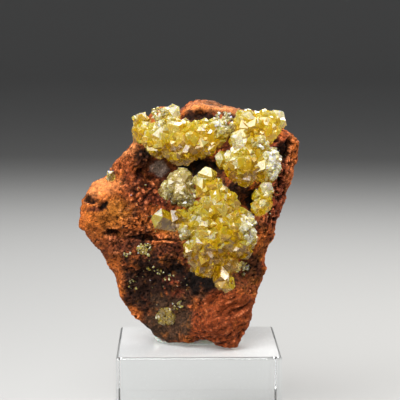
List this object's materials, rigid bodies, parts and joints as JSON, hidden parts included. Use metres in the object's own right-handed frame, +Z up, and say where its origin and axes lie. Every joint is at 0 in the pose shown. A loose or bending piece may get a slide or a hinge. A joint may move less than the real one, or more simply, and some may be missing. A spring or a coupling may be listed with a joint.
{
  "type": "adamite mineral specimen",
  "caption": "Clusters of yellow adamite crystals on rough red-brown limonite, stuck upright with tack on a clear acrylic display block.",
  "frame": {"origin": "centre of the display block's underside", "axes": "+Z up, -Y the way the crystal face looks, +X to the right seen from the crystal side"},
  "size_m": [0.0677, 0.05, 0.1009],
  "materials": {
    "acrylic": "polished clear acrylic with slightly broken edges",
    "tack": "matte pale grey-green mineral tack",
    "limonite": "rough, porous, earthy iron oxide, orange on the rims and near black in the hollows",
    "adamite": "translucent lemon-yellow crystals with bright glassy faces",
    "pale_adamite": "pale greenish-cream crystal crust, less glassy"
  },
  "bodies": {
    "root": {"display_block": "acrylic", "mineral_tack": "tack", "limonite_matrix": "limonite", "adamite_top_left": "adamite", "adamite_right": "adamite", "adamite_centre": "adamite", "adamite_cavity": "pale_adamite", "adamite_right_edge": "adamite", "adamite_lower_left": "pale_adamite", "adamite_left_sprig": "pale_adamite", "adamite_left_shoulder": "pale_adamite"}
  },
  "joints": []
}
